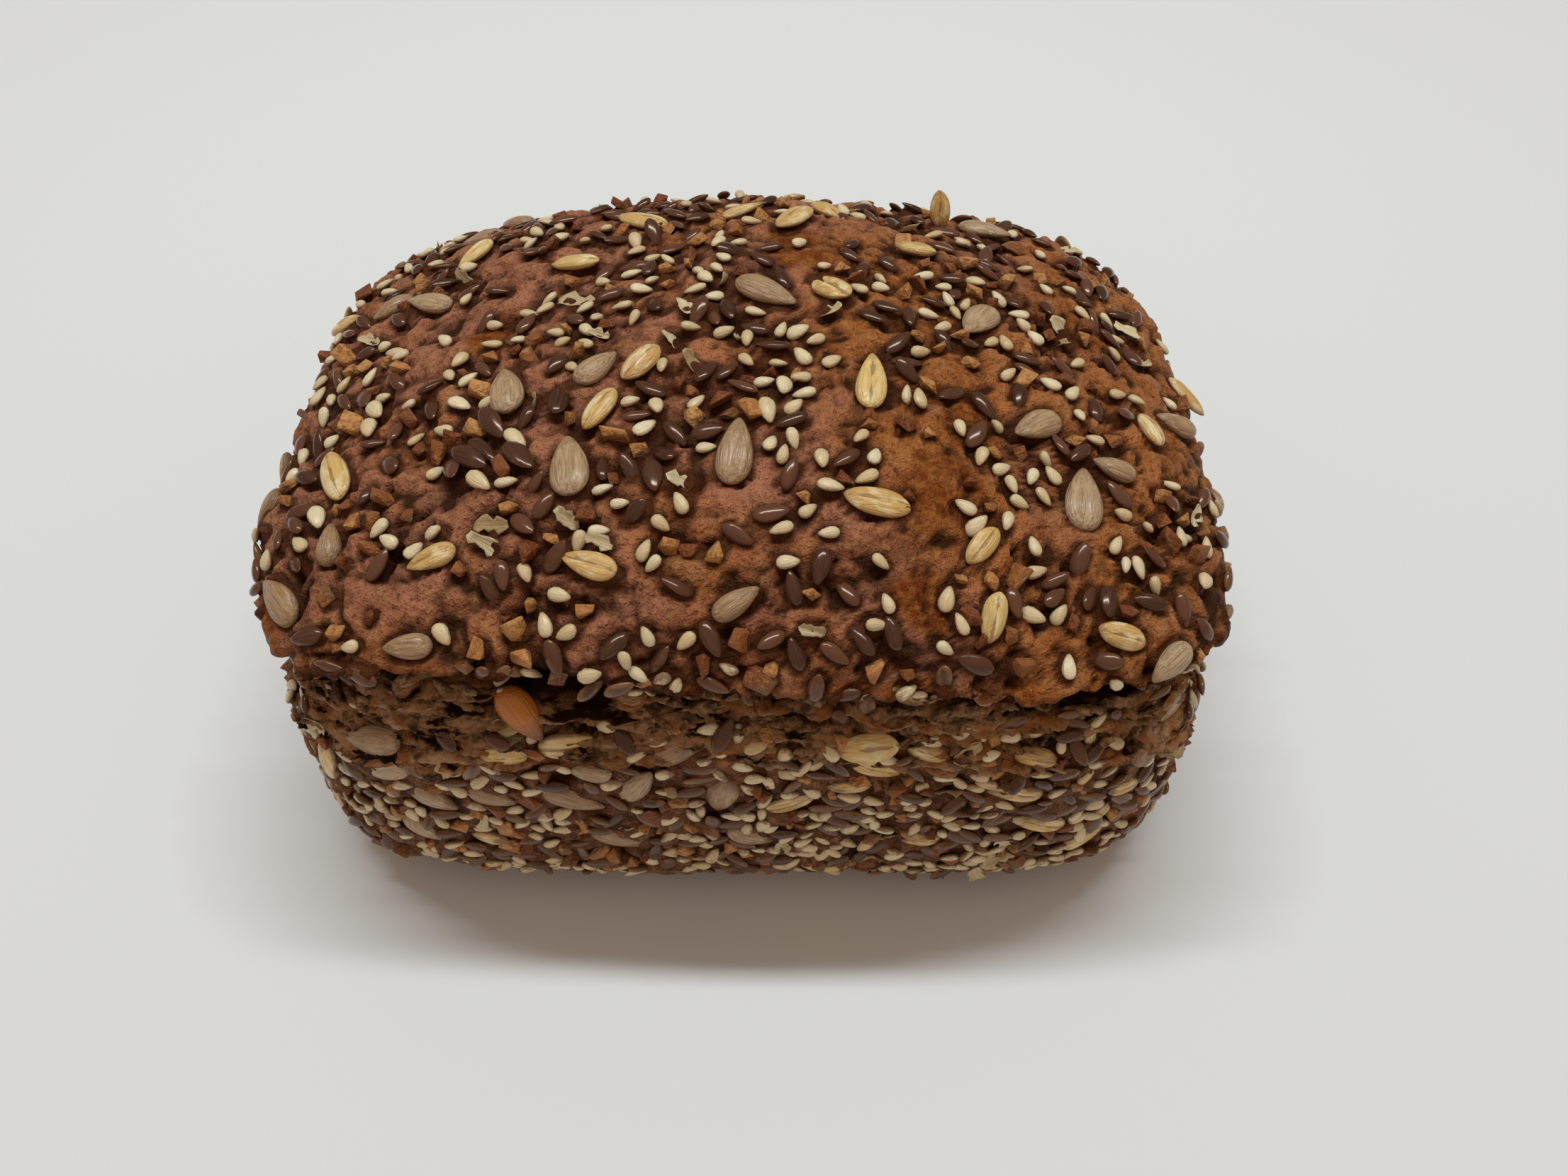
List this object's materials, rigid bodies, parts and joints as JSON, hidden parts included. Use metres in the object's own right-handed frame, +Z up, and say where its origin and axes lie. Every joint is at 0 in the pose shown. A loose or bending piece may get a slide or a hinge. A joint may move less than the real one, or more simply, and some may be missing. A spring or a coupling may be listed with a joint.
{
  "type": "seeded wholegrain tin loaf",
  "caption": "Small tin-baked wholegrain loaf with a domed, cracked brown crust, covered with fused kernels, oats and seeds, and torn along its front below the lip.",
  "frame": {"origin": "middle of the flat base, at the level of the surface that the loaf stands on", "axes": "+Z up through the domed crust, +X along the loaf's long side, -Y towards the torn front"},
  "size_m": [0.1446, 0.1147, 0.0777],
  "materials": {
    "crust": "matte reddish-brown baked crust, darker and greyer on the walls"
  },
  "bodies": {
    "root": {"loaf": "crust"}
  },
  "joints": []
}
